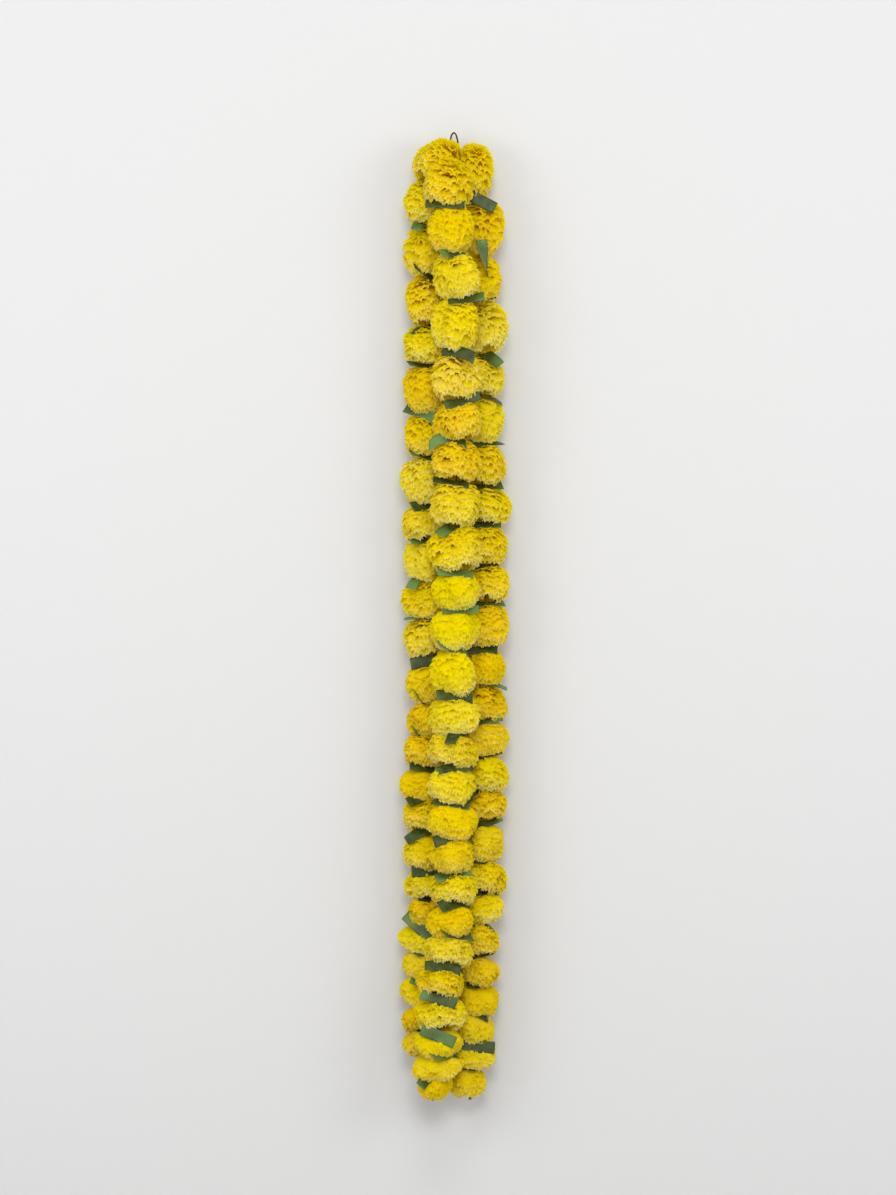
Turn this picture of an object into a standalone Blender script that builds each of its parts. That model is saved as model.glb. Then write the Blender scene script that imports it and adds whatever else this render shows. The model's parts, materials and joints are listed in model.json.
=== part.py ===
"""Marigold garland: three strands of fabric flowers and ribbon strips, hung by a loop of thread.

Units are metres, +Z is up. The origin is the top of the hanging loop, in the middle of its thread.
The front faces -Y, and the wall that the garland hangs against is a little way behind it, at +Y.
"""

import math
import random

import bmesh
import bpy
from mathutils import Matrix, Vector

MM = 0.001

# Flowers
FLOWER_RADIUS = 32 * MM
TALLEST_FLOWER = 70 * MM
FLOWER_SIDES = 10
ARC_POINTS = 4
ARC_REACH = math.radians(66)  # how far a flower's outline runs above and below its middle
ROUNDNESS = 0.62  # below 1 the outline is fuller than an ellipse
BORE_RADIUS = 1.5 * MM

# Ribbon strips
STRIP_LENGTH = 58 * MM
STRIP_WIDTH = 20 * MM
STRIP_THICKNESS = 0.8 * MM
STRIP_TURN = math.radians(35)  # each strip is turned at random, up to this much either way
STRIP_SEED = 11

# Threads and knots
THREAD_RADIUS = 0.8 * MM
LOOP_RADIUS = 1.0 * MM
KNOT_CENTRE = Vector((4, 1, -38)) * MM
KNOT_RADIUS = 4 * MM
END_KNOT_RADIUS = 2.4 * MM
TAIL_SIZE = (5 * MM, 1.6 * MM, 9 * MM)

# Clearances
TOUCH_GAP = 0.3 * MM  # between pieces that touch
SLOT_GAP = 0.5 * MM  # round a strip, where a pair of flowers meets past its sides

# The loop's route in millimetres: up its left leg, over the top and down its right leg.
LOOP_ROUTE = [
    (1.4, 1, -34.2),
    (-2.8, 0.8, -24),
    (-5.4, 0.2, -13),
    (-4.2, 0, -4.4),
    (-2.8, 0, -1.2),
    (0, 0, 0),
    (2.8, 0, -1.2),
    (4.2, 0, -4.4),
    (5.8, 0.2, -13),
    (7.2, 0.6, -25),
    (6.0, 1, -34.0),
]

# Each strand, in millimetres. "lead" is the thread's way from the gathering knot to the first
# flower, "route" is the strand's middle line from there down, and "drops" says how far below the
# loop each ribbon strip sits. The last drop is the strand's end. They are spaced by hand, and the
# flowers crowd towards the lower end.
STRANDS = {
    "left": {
        "lead": [(1.0, 3.6, -35.2), (-4.6, 3.8, -27), (-10.4, 2, -15.5), (-13.6, -4.5, -8.6)],
        "route": [
            (-16, -12, -14),
            (-44, -29, -75),
            (-46, -28, -145),
            (-45, -27, -365),
            (-48, -27, -510),
            (-45, -27, -700),
            (-41, -27, -860),
            (-46, -27, -1000),
            (-44, -27, -1160),
            (-49, -26, -1330),
            (-47, -27, -1450),
        ],
        "drops": [
            75, 145, 225, 305, 365, 440, 510, 585, 640, 705, 765, 830, 895,
            950, 1000, 1050, 1100, 1160, 1205, 1250, 1290, 1330, 1375, 1410, 1450,
        ],
    },
    "centre": {
        "lead": [
            (6, -2.6, -35),
            (7.5, -8, -29),
            (8, -18, -24),
            (7, -34, -26),
            (4, -54, -33),
            (0, -70, -45),
        ],
        "route": [
            (-1, -77, -57),
            (-4, -82, -120),
            (-5, -84, -190),
            (4, -84, -265),
            (2, -82, -345),
            (5, -80, -425),
            (4, -79, -550),
            (-3, -80, -620),
            (1, -79, -690),
            (-2, -79, -885),
            (-3, -79, -1050),
            (-1, -81, -1210),
            (-14, -87, -1305),
            (-25, -89, -1390),
            (-26, -88, -1445),
            (-33, -72, -1515),
        ],
        "drops": [
            120, 190, 265, 345, 425, 485, 550, 620, 690, 750, 810, 885, 945,
            995, 1050, 1105, 1160, 1210, 1260, 1305, 1355, 1405, 1445, 1480, 1515,
        ],
    },
    "right": {
        "lead": [(8.2, 1.5, -36), (12, 1, -30), (18, -1, -22), (24.8, -8, -19)],
        "route": [
            (27, -14, -26),
            (39, -29, -104),
            (40, -28, -195),
            (41, -27, -350),
            (44, -27, -490),
            (48, -27, -680),
            (50, -27, -810),
            (43, -27, -925),
            (43, -27, -1085),
            (39, -27, -1245),
            (33, -27, -1340),
            (29, -27, -1430),
            (26, -27, -1508),
        ],
        "drops": [
            104, 195, 265, 350, 415, 490, 555, 615, 680, 740, 810, 870, 925,
            980, 1035, 1085, 1145, 1195, 1245, 1295, 1340, 1385, 1430, 1470, 1508,
        ],
    },
}


def collection(name):
    made = bpy.data.collections.new(name)
    bpy.context.scene.collection.children.link(made)
    return made


def material(name, colour, roughness, metallic=0.0):
    made = bpy.data.materials.new(name)
    made.use_nodes = True
    shader = made.node_tree.nodes["Principled BSDF"]
    shader.inputs["Base Color"].default_value = (*colour, 1)
    shader.inputs["Roughness"].default_value = roughness
    shader.inputs["Metallic"].default_value = metallic
    return made


def smooth_line(points, steps):
    """A smooth curve through the points, with this many steps between each two."""
    points = [Vector(p) for p in points]
    ends = [2 * points[0] - points[1], *points, 2 * points[-1] - points[-2]]
    line = []
    for a, b, c, d in zip(ends, ends[1:], ends[2:], ends[3:]):
        for step in range(steps):
            t = step / steps
            slope_b = (c - a) / 2
            slope_c = (d - b) / 2
            line.append(
                b * (2 * t**3 - 3 * t**2 + 1)
                + slope_b * (t**3 - 2 * t**2 + t)
                + c * (3 * t**2 - 2 * t**3)
                + slope_c * (t**3 - t**2)
            )
    return [*line, points[-1]]


def at_height(line, z):
    """The point of a falling line at this height."""
    for above, below in zip(line, line[1:]):
        if above.z >= z >= below.z:
            return above.lerp(below, (above.z - z) / (above.z - below.z))
    return line[-1]


def joints_of(strand):
    """The points where the thread enters the first flower, meets each strip and ends.

    Flowers 2 and 3 share a straight axis, and so do each two after them, so each second strip
    is moved onto the line between its neighbours.
    """
    line = smooth_line([Vector(p) * MM for p in strand["route"]], 12)
    joints = [line[0]]
    joints += [at_height(line, -drop * MM) for drop in strand["drops"]]
    for k in range(2, len(joints) - 1, 2):
        above = joints[k - 1]
        below = joints[k + 1]
        share = (above.z - joints[k].z) / (above.z - below.z)
        joints[k] = above.lerp(below, share)
    return joints


def strip_turns(side):
    draw = random.Random(f"{STRIP_SEED} {side}")
    count = len(STRANDS[side]["drops"]) - 1
    return [draw.uniform(-STRIP_TURN, STRIP_TURN) for _ in range(count)]


def frame_at(point, downwards, turn):
    """A placement at the point, its -Z along the thread and its X turned about it."""
    back = -downwards.normalized()
    across = Vector((1, 0, 0))
    across = (across - across.dot(back) * back).normalized()
    basis = Matrix((across, back.cross(across), back)).transposed().to_4x4()
    return Matrix.Translation(point) @ basis @ Matrix.Rotation(turn, 4, "Z")


def add_mesh_object(name, bm, home, paint=None):
    mesh = bpy.data.meshes.new(name)
    bm.to_mesh(mesh)
    bm.free()
    made = bpy.data.objects.new(name, mesh)
    home.objects.link(made)
    if paint:
        mesh.materials.append(paint)
    else:
        made.hide_render = True
        made.display_type = "WIRE"
    return made


def add_box(bm, size, placement):
    bmesh.ops.create_cube(bm, size=1, matrix=placement @ Matrix.Diagonal((*size, 1)))


def add_boolean(target, tool, operation):
    change = target.modifiers.new(operation.title(), "BOOLEAN")
    change.operation = operation
    change.solver = "EXACT"
    change.object = tool


def clearance(joints, k):
    """How far the flowers keep from the middle of strip k, and more where the thread bends."""
    clear = STRIP_THICKNESS / 2 + SLOT_GAP
    if 0 < k < len(joints) - 1 and k % 2:
        before = joints[k] - joints[max(k - 2, 0)]
        bend = before.angle(joints[k + 2] - joints[k])
        rim = FLOWER_RADIUS * math.cos(ARC_REACH) ** ROUNDNESS
        clear += rim * math.tan(bend / 2)
    return clear


def flower_outline(top, height):
    """One flower's outer line from top to bottom, as (distance from the thread, height)."""
    outline = []
    for i in range(ARC_POINTS):
        angle = ARC_REACH * (1 - 2 * i / (ARC_POINTS - 1))
        outwards = FLOWER_RADIUS * math.cos(angle) ** ROUNDNESS
        upwards = math.sin(angle) / math.sin(ARC_REACH)
        outline.append((outwards, top - height / 2 * (1 - upwards)))
    return outline


def add_flowers(name, joints, first, last, home, paint):
    """The flowers between two joints, turned as one solid about the straight line between them."""
    start = joints[first]
    downwards = joints[last] - start
    outline = []
    for k in range(first, last):
        above = (joints[k] - start).length + clearance(joints, k)
        below = (joints[k + 1] - start).length - clearance(joints, k + 1)
        height = min(below - above, TALLEST_FLOWER)
        outline += flower_outline((height - above - below) / 2, height)
    outline.append((BORE_RADIUS, outline[-1][1]))
    outline.append((BORE_RADIUS, outline[0][1]))
    bm = bmesh.new()
    corners = [bm.verts.new((out, 0, up)) for out, up in outline]
    for a, b in zip(corners, corners[1:] + corners[:1]):
        bm.edges.new((a, b))
    flower = add_mesh_object(name, bm, home, paint)
    turned = flower.modifiers.new("Turned", "SCREW")
    turned.steps = FLOWER_SIDES
    turned.render_steps = FLOWER_SIDES
    turned.use_merge_vertices = True
    turned.merge_threshold = 0.00001
    turned.use_smooth_shade = True
    flower.matrix_world = frame_at(start, downwards, 0)
    return flower


def cut_slot(flower, joint, downwards, turn, cutters):
    """Room for the strip that lies between the two flowers of a pair."""
    bm = bmesh.new()
    size = (
        3 * FLOWER_RADIUS,
        STRIP_WIDTH + 2 * SLOT_GAP,
        STRIP_THICKNESS + 2 * SLOT_GAP,
    )
    add_box(bm, size, frame_at(joint, downwards, turn))
    slot = add_mesh_object(f"{flower.name}_slot", bm, cutters)
    add_boolean(flower, slot, "DIFFERENCE")


def tube(name, points, radius, round_steps, home, paint):
    curve = bpy.data.curves.new(name, "CURVE")
    curve.dimensions = "3D"
    curve.bevel_depth = radius
    curve.bevel_resolution = round_steps
    curve.use_fill_caps = True
    spline = curve.splines.new("POLY")
    spline.points.add(len(points) - 1)
    for place, point in zip(spline.points, points):
        place.co = (*point, 1)
    curve.materials.append(paint)
    made = bpy.data.objects.new(name, curve)
    home.objects.link(made)
    return made


def as_mesh(tube_object, home):
    """The tube as a mesh with its caps welded on, so that a Boolean can join other shapes to it."""
    name = tube_object.name
    mesh = bpy.data.meshes.new_from_object(tube_object.evaluated_get(bpy.context.evaluated_depsgraph_get()))
    bm = bmesh.new()
    bm.from_mesh(mesh)
    bmesh.ops.remove_doubles(bm, verts=bm.verts, dist=0.00001)
    bm.to_mesh(mesh)
    bm.free()
    bpy.data.objects.remove(tube_object)
    made = bpy.data.objects.new(name, mesh)
    home.objects.link(made)
    return made


def add_thread(side, joints, turns, home, cutters, paint):
    """The strand's thread, with its ribbon strips joined to it where it pierces them."""
    name = f"{side}_thread"
    lead = smooth_line([Vector(p) * MM for p in STRANDS[side]["lead"]] + [joints[0]], 3)
    way = lead + [joints[1]] + joints[3::2]
    last = way[-1]
    along = (last - way[-2]).normalized()
    way[-1] = last + along * TOUCH_GAP
    thread = tube(name, way, THREAD_RADIUS, 1, home, paint)
    bpy.context.view_layer.update()
    thread = as_mesh(thread, home)
    bm = bmesh.new()
    for k, turn in enumerate(turns, start=1):
        downwards = joints[k + 1] - joints[k - 1]
        size = (STRIP_LENGTH, STRIP_WIDTH, STRIP_THICKNESS)
        add_box(bm, size, frame_at(joints[k], downwards, turn))
    strips = add_mesh_object(f"{side}_strips", bm, cutters)
    add_boolean(thread, strips, "UNION")
    return thread


def add_ball(name, centre, radius, home, paint):
    bm = bmesh.new()
    bmesh.ops.create_uvsphere(bm, u_segments=12, v_segments=8, radius=radius)
    ball = add_mesh_object(name, bm, home, paint)
    ball.location = centre
    ball.data.shade_smooth()
    return ball


def add_strand(side, home, cutters, paints):
    """One strand: its flowers, its thread with the strips, and its end knot, whose middle is returned."""
    joints = joints_of(STRANDS[side])
    turns = strip_turns(side)
    add_flowers(f"{side}_flower_01", joints, 0, 1, home, paints["petals"])
    for k in range(1, len(joints) - 1, 2):
        name = f"{side}_flowers_{k + 1:02d}_{k + 2:02d}"
        pair = add_flowers(name, joints, k, k + 2, home, paints["petals"])
        cut_slot(pair, joints[k + 1], joints[k + 2] - joints[k], turns[k], cutters)
    add_thread(side, joints, turns, home, cutters, paints["ribbon"])
    along = (joints[-1] - joints[-3]).normalized()
    knot_centre = joints[-1] + along * (END_KNOT_RADIUS + 2 * TOUCH_GAP)
    add_ball(f"{side}_end_knot", knot_centre, END_KNOT_RADIUS, home, paints["thread"])
    return knot_centre


def add_tail(below, home, paint):
    """The short end of ribbon that hangs from the right strand's end knot."""
    bm = bmesh.new()
    drop = END_KNOT_RADIUS + TOUCH_GAP + TAIL_SIZE[2] / 2
    add_box(bm, TAIL_SIZE, Matrix.Translation(below - Vector((0, 0, drop))))
    add_mesh_object("right_tail", bm, home, paint)


def main():
    for old in list(bpy.data.objects):
        bpy.data.objects.remove(old)
    garland = collection("marigold garland")
    cutters = collection("cutters")
    paints = {
        "petals": material("yellow fabric petals", (0.84, 0.55, 0.01), 0.85),
        "ribbon": material("green satin ribbon", (0.03, 0.11, 0.05), 0.5),
        "thread": material("dark twisted thread", (0.05, 0.04, 0.03), 0.8),
    }
    knots = {side: add_strand(side, garland, cutters, paints) for side in STRANDS}
    add_tail(knots["right"], garland, paints["ribbon"])
    add_ball("gathering_knot", KNOT_CENTRE, KNOT_RADIUS, garland, paints["thread"])
    loop_line = smooth_line([Vector(p) * MM for p in LOOP_ROUTE], 2)
    tube("hanging_loop", loop_line, LOOP_RADIUS, 2, garland, paints["thread"])


main()
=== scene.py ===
# %% [markdown]
# # Marigold garland
# Three strands of fabric marigolds, with short strips of green satin ribbon between the flowers, hang
# from one loop of dark thread. This lesson dresses a plain solid model of it: the solids say where
# everything goes, and each one is replaced by a piece with real folds, edges and twist.
#
# The first step loads the solid model and keeps its parts, which give the finished pieces their places.

# %% Load the solid model
import json
import math
import random

import bmesh
import bpy
import numpy as np
from mathutils import Matrix, Vector

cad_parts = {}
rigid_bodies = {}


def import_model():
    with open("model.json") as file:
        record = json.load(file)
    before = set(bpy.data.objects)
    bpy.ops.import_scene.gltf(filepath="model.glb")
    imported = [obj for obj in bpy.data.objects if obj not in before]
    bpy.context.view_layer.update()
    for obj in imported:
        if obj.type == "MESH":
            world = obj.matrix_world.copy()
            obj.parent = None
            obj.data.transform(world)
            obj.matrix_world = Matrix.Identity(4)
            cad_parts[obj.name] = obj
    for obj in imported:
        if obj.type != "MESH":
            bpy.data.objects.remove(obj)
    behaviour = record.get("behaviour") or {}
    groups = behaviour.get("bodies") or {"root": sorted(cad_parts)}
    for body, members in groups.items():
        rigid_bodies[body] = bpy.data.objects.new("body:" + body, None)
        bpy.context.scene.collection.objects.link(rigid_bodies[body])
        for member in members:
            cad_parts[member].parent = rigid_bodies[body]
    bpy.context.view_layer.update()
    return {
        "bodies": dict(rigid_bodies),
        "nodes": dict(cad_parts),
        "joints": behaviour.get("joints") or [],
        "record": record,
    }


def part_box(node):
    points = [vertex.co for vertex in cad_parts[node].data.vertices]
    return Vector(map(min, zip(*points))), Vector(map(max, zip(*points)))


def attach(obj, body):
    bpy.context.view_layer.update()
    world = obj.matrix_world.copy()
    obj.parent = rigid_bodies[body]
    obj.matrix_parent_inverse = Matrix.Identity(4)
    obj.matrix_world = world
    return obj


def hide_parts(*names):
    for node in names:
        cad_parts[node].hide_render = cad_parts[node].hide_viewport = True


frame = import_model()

MM = 0.001

# %% [markdown]
# ## Small helpers
# Colours are written as the hex codes of a paint chart. Blender's shaders work in linear light, so one
# function converts them. Another adds a shader node, sets it up and links it in one call, which keeps
# each material short enough to read as a recipe. The last two turn a shape into a mesh and put things in
# the scene.


# %% Colours and nodes
def linear(hex_code, alpha=1.0):
    """An sRGB hex colour as linear RGBA."""
    shares = [int(hex_code[i : i + 2], 16) / 255 for i in (1, 3, 5)]
    return (*[s / 12.92 if s <= 0.04045 else ((s + 0.055) / 1.055) ** 2.4 for s in shares], alpha)


def add_node(tree, kind, sockets=None, **settings):
    """A new node. Each socket, by name or number, gets a value, or another node's output as a link."""
    node = tree.nodes.new(kind)
    for name, value in settings.items():
        setattr(node, name, value)
    for name, value in (sockets or {}).items():
        if isinstance(value, bpy.types.NodeSocket):
            tree.links.new(value, node.inputs[name])
        else:
            node.inputs[name].default_value = value
    return node


def colour_stops(ramp_node, stops):
    """Gives a Color Ramp its stops, each a place from 0 to 1 and a hex colour."""
    ramp = ramp_node.color_ramp
    while len(ramp.elements) < len(stops):
        ramp.elements.new(1)
    for stop, (place, hex_code) in zip(ramp.elements, stops):
        stop.position = place
        stop.color = linear(hex_code)


def new_material(name):
    """A material with only its output node, and its node tree."""
    made = bpy.data.materials.new(name)
    made.use_nodes = True
    made.node_tree.nodes.clear()
    return made, made.node_tree


# %% Meshes and objects
def mesh_of(bm, name):
    """A mesh in the shape of the bmesh, which isn't needed after that."""
    mesh = bpy.data.meshes.new(name)
    bm.to_mesh(mesh)
    bm.free()
    return mesh


def new_object(name, data):
    """A mesh, camera or light as an object in the scene."""
    made = bpy.data.objects.new(name, data)
    bpy.context.scene.collection.objects.link(made)
    return made


# %% [markdown]
# ## Camera
# The garland is looked at straight from the front with a long lens from about seven metres away, so
# that its strands stay the same size from top to bottom. The camera is level and a little to the left
# of the loop. Its picture is taller than it is wide, so the sensor's width lies along its height.

# %% Camera
VIEW_CENTRE = Vector((-9.4, -50, -732)) * MM
VIEW_HEIGHT = 1876 * MM
LENS = 135  # mm, like the sensor
SENSOR = 36
camera_data = bpy.data.cameras.new("camera")
camera_data.lens = LENS
camera_data.sensor_width = SENSOR
camera = new_object("camera", camera_data)
camera.location = VIEW_CENTRE - Vector((0, VIEW_HEIGHT * LENS / SENSOR, 0))
camera.rotation_euler = (math.radians(90), 0, 0)
bpy.context.scene.camera = camera
print("camera stands", round(-camera.location.y, 2), "m in front")

# %% [markdown]
# ## Routes
# A thread, a strand's middle line and the loop are all drawn through a few points. A smooth curve
# through them (a Catmull-Rom curve) is what a limp thread under light tension looks like. The strands'
# points are the solid model's own, repeated here in millimetres.


# %% Smooth lines
def in_metres(points):
    """Points in millimetres as vectors in metres."""
    return [Vector(p) * MM for p in points]


def smooth_line(points, steps):
    """A smooth curve through the points, with this many steps between each two."""
    ends = [2 * points[0] - points[1], *points, 2 * points[-1] - points[-2]]
    line = []
    for a, b, c, d in zip(ends, ends[1:], ends[2:], ends[3:]):
        for step in range(steps):
            t = step / steps
            line.append(
                b * (2 * t**3 - 3 * t**2 + 1)
                + (c - a) / 2 * (t**3 - 2 * t**2 + t)
                + c * (3 * t**2 - 2 * t**3)
                + (d - b) / 2 * (t**3 - t**2)
            )
    return [*line, points[-1]]


def length_of(line):
    """The length of a line of points."""
    return sum((b - a).length for a, b in zip(line, line[1:]))


def evenly(line, spacing):
    """The same line with a point about every so many metres."""
    count = max(2, round(length_of(line) / spacing))
    step = length_of(line) / count
    places, walked = [line[0]], 0.0
    for a, b in zip(line, line[1:]):
        reach = (b - a).length
        while len(places) < count and walked + reach >= step * len(places):
            places.append(a.lerp(b, (step * len(places) - walked) / reach))
        walked += reach
    return [*places, line[-1]]


# %% [markdown]
# ## Twisted thread
# The loop and the strands are tied from dark polyester thread: plies twisted round each other. A
# curve with a round bevel would be quicker, but it is a smooth wire. Here each ply is a small circle
# swept along the route while it turns about it, with Blender's extrude and a transform for each step,
# so the twist catches the light as real thread does.

# %% Sweep plies along a route
PLY_SIZE = 0.56  # a ply's radius, as a share of the thread's


def frames_along(line):
    """A placement at each point of the line, Z along it, turned as little as possible on the way."""
    ways = [(b - a).normalized() for a, b in zip(line, line[1:])]
    ways = [ways[0], *[(a + b).normalized() for a, b in zip(ways, ways[1:])], ways[-1]]
    side = ways[0].orthogonal().normalized()
    frames = []
    for place, way in zip(line, ways):
        side = (side - side.dot(way) * way).normalized()
        basis = Matrix((side, way.cross(side), way)).transposed().to_4x4()
        frames.append(Matrix.Translation(place) @ basis)
    return frames


def twist_thread(bm, line, radius, plies=3, pitch=6 * MM, sides=6, steps_per_turn=8):
    """Sweeps the plies along the line, and closes their ends."""
    line = evenly(line, pitch / steps_per_turn)
    frames = frames_along(line)
    ply_radius = radius * PLY_SIZE
    for ply in range(plies):
        turns = [
            frame @ Matrix.Rotation(2 * math.pi * (i / steps_per_turn + ply / plies), 4, "Z")
            for i, frame in enumerate(frames)
        ]
        beside = Matrix.Translation((radius - ply_radius, 0, 0))
        start = bmesh.ops.create_circle(
            bm, cap_ends=True, radius=ply_radius, segments=sides, matrix=turns[0] @ beside
        )["verts"]
        cap = start[0].link_faces[0]
        bmesh.ops.reverse_faces(bm, faces=[cap])
        rim = list(cap.edges)
        for before, after in zip(turns, turns[1:]):
            made = bmesh.ops.extrude_edge_only(bm, edges=rim)["geom"]
            moved = [part for part in made if isinstance(part, bmesh.types.BMVert)]
            # Each ring is put back upright and then into its new place.
            bmesh.ops.transform(bm, matrix=after @ before.inverted(), verts=moved)
            new = set(moved)
            rim = [e for e in made if isinstance(e, bmesh.types.BMEdge) and set(e.verts) <= new]
        bmesh.ops.edgeloop_fill(bm, edges=rim)


def finish_piece(name, bm, paint, *nodes, slot="thread"):
    """Turns the bmesh into a smooth-shaded piece that rides on the garland and stands for its nodes."""
    bmesh.ops.recalc_face_normals(bm, faces=bm.faces)
    mesh = mesh_of(bm, name)
    mesh.shade_smooth()
    mesh.materials.append(paint)
    piece = new_object(name, mesh)
    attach(piece, "root")
    if nodes:
        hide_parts(*nodes)
    return piece


# %% [markdown]
# ## Thread finish
# Dark brown polyester thread, spun from short fibres: dull, slightly fuzzy, and with a painted highlight
# that makes it a shade lighter where fibres stand up. The thread is so thin that a fine noise is enough
# for them. Real fibres are finer, and are drawn coarser here so that they show.

# %% Dark polyester thread
FIBRE_SCALE = 1600.0  # 0.6 mm apart
thread_paint, tree = new_material("dark polyester thread")
place = add_node(tree, "ShaderNodeTexCoord").outputs["Object"]
fibres = add_node(tree, "ShaderNodeTexNoise", {"Vector": place, "Scale": FIBRE_SCALE, "Detail": 2.0})
# The fibres' noise also raises the bump, so the fibres that stand up get a painted highlight.
tint = add_node(tree, "ShaderNodeValToRGB", {"Fac": fibres.outputs["Fac"]})
colour_stops(tint, [(0.3, "#1c1610"), (0.7, "#3d3325")])
fuzz = add_node(tree, "ShaderNodeBump", {"Height": fibres.outputs["Fac"], "Distance": 0.1 * MM})
cloth = add_node(
    tree,
    "ShaderNodeBsdfPrincipled",
    {"Base Color": tint.outputs["Color"], "Roughness": 0.75, "Normal": fuzz.outputs["Normal"]},
)
add_node(tree, "ShaderNodeOutputMaterial", {"Surface": cloth.outputs["BSDF"]})

# %% [markdown]
# ## Hanging loop
# The garland hangs from a narrow loop. It runs from the gathering knot up one leg, over the top and down
# the other leg into the knot again. It is the one free cord here.

# %% Hanging loop
LOOP_RADIUS = 1.5 * MM
LOOP_SPACING = 1 * MM  # between the points of its path
LOOP_ROUTE = [
    (1.4, 1, -34.2), (-3.6, 0.8, -24), (-6.0, 0.2, -12), (-4.0, 0, -2.4), (-2.2, 0, 1.2),
    (0, 0, 2.6), (2.2, 0, 1.2), (4.0, 0, -2.4), (6.2, 0.2, -12), (7.6, 0.6, -25), (6.0, 1, -34.0),
]
loop_line = evenly(smooth_line(in_metres(LOOP_ROUTE), steps=6), LOOP_SPACING)
bm = bmesh.new()
twist_thread(bm, loop_line, LOOP_RADIUS, pitch=5 * MM)
loop = finish_piece("twisted_hanging_loop", bm, thread_paint, "hanging_loop")

# %% [markdown]
# ## Layout of the strands
# Every strand is one thread. `lead` is its way from the gathering knot to the first flower, `route`
# is its middle line below that, and `drops` are the depths below the loop where ribbon strips sit, one
# under each flower, all in millimetres. The last drop is the strand's end. The flowers crowd towards the
# bottom, where they have slid down the thread.

# %% Routes and drops
STRANDS = {
    "left": {
        "lead": [(1.0, 3.6, -35.2), (-4.6, 3.8, -27), (-10.4, 2, -15.5), (-13.6, -4.5, -8.6)],
        "route": [
            (-16, -12, -14), (-44, -29, -75), (-46, -28, -145), (-45, -27, -365),
            (-48, -27, -510), (-45, -27, -700), (-41, -27, -860), (-46, -27, -1000),
            (-44, -27, -1160), (-49, -26, -1330), (-47, -27, -1450),
        ],
        "drops": [
            75, 145, 225, 305, 365, 440, 510, 585, 640, 705, 765, 830, 895,
            950, 1000, 1050, 1100, 1160, 1205, 1250, 1290, 1330, 1375, 1410, 1450,
        ],
    },
    "centre": {
        "lead": [
            (6, -2.6, -35), (7.5, -8, -29), (8, -18, -24), (7, -34, -26), (4, -54, -33), (0, -70, -45),
        ],
        "route": [
            (-1, -77, -57), (-4, -82, -120), (-5, -84, -190), (4, -84, -265), (2, -82, -345),
            (5, -80, -425), (4, -79, -550), (-3, -80, -620), (1, -79, -690), (-2, -79, -885),
            (-3, -79, -1050), (-1, -81, -1210), (-14, -87, -1305), (-25, -89, -1390),
            (-26, -88, -1445), (-33, -72, -1515),
        ],
        "drops": [
            120, 190, 265, 345, 425, 485, 550, 620, 690, 750, 810, 885, 945,
            995, 1050, 1105, 1160, 1210, 1260, 1305, 1355, 1405, 1445, 1480, 1515,
        ],
    },
    "right": {
        "lead": [(8.2, 1.5, -36), (12, 1, -30), (18, -1, -22), (24.8, -8, -19)],
        "route": [
            (27, -14, -26), (39, -29, -104), (40, -28, -195), (41, -27, -350), (44, -27, -490),
            (48, -27, -680), (50, -27, -810), (43, -27, -925), (43, -27, -1085), (39, -27, -1245),
            (33, -27, -1340), (29, -27, -1430), (26, -27, -1508),
        ],
        "drops": [
            104, 195, 265, 350, 415, 490, 555, 615, 680, 740, 810, 870, 925,
            980, 1035, 1085, 1145, 1195, 1245, 1295, 1340, 1385, 1430, 1470, 1508,
        ],
    },
}


def at_height(line, z):
    """The point of a falling line at this height."""
    for above, below in zip(line, line[1:]):
        if above.z >= z >= below.z:
            return above.lerp(below, (above.z - z) / (above.z - below.z))
    return line[-1]


def joints_of(strand):
    """Where the thread enters the first flower, meets each strip and ends."""
    line = smooth_line(in_metres(strand["route"]), steps=12)
    joints = [line[0]]
    joints += [at_height(line, -drop * MM) for drop in strand["drops"]]
    # Below the first flower the thread runs straight through two flowers at a time.
    for k in range(2, len(joints) - 1, 2):
        above = joints[k - 1]
        below = joints[k + 1]
        share = (above.z - joints[k].z) / (above.z - below.z)
        joints[k] = above.lerp(below, share)
    return joints


joints = {side: joints_of(strand) for side, strand in STRANDS.items()}
for side in joints:
    low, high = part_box(f"{side}_end_knot")
    gap = (joints[side][-1] - (low + high) / 2).length
    print(side, "strand ends", round(gap / MM, 1), "mm from the middle of its end knot")

# %% [markdown]
# ## Strand threads and knots
# A strand's thread shows only near the knot and in the narrow gaps between flowers, but it is one
# piece from end to end. The knots are overhand knots pulled tight: a few turns of the same thread wound
# close round a middle, which a coil that narrows at both ends stands for.

# %% Strand threads
THREAD_RADIUS = 0.8 * MM
THREAD_STEPS = 4
for side, strand in STRANDS.items():
    lead = smooth_line([*in_metres(strand["lead"]), joints[side][0]], steps=6)
    bends = [lead[-2], lead[-1], joints[side][1], *joints[side][3::2]]
    # The lead's last stretch only gives the rest its direction, so it isn't drawn twice.
    way = smooth_line(bends, THREAD_STEPS)[THREAD_STEPS:]
    bm = bmesh.new()
    twist_thread(
        bm, lead[:-1] + way, THREAD_RADIUS, plies=2, pitch=12 * MM, sides=5, steps_per_turn=5
    )
    finish_piece(f"{side}_twisted_thread", bm, thread_paint, f"{side}_thread")


# %% Tight knots
# Sizes of a knot, as shares of its radius.
COIL_OUT = 0.62  # from its axis to the middle of the thread
COIL_LENGTH = 1.3
COIL_THREAD = 0.36
COIL_PITCH = 1.4
COIL_CORE = 0.6
COIL_NARROWING = (0.12, 0.76)  # where on a half wave its width starts, and how much of it is used
COIL_STEPS = 10  # in a turn
COIL_TILT = 25  # degrees


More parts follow.
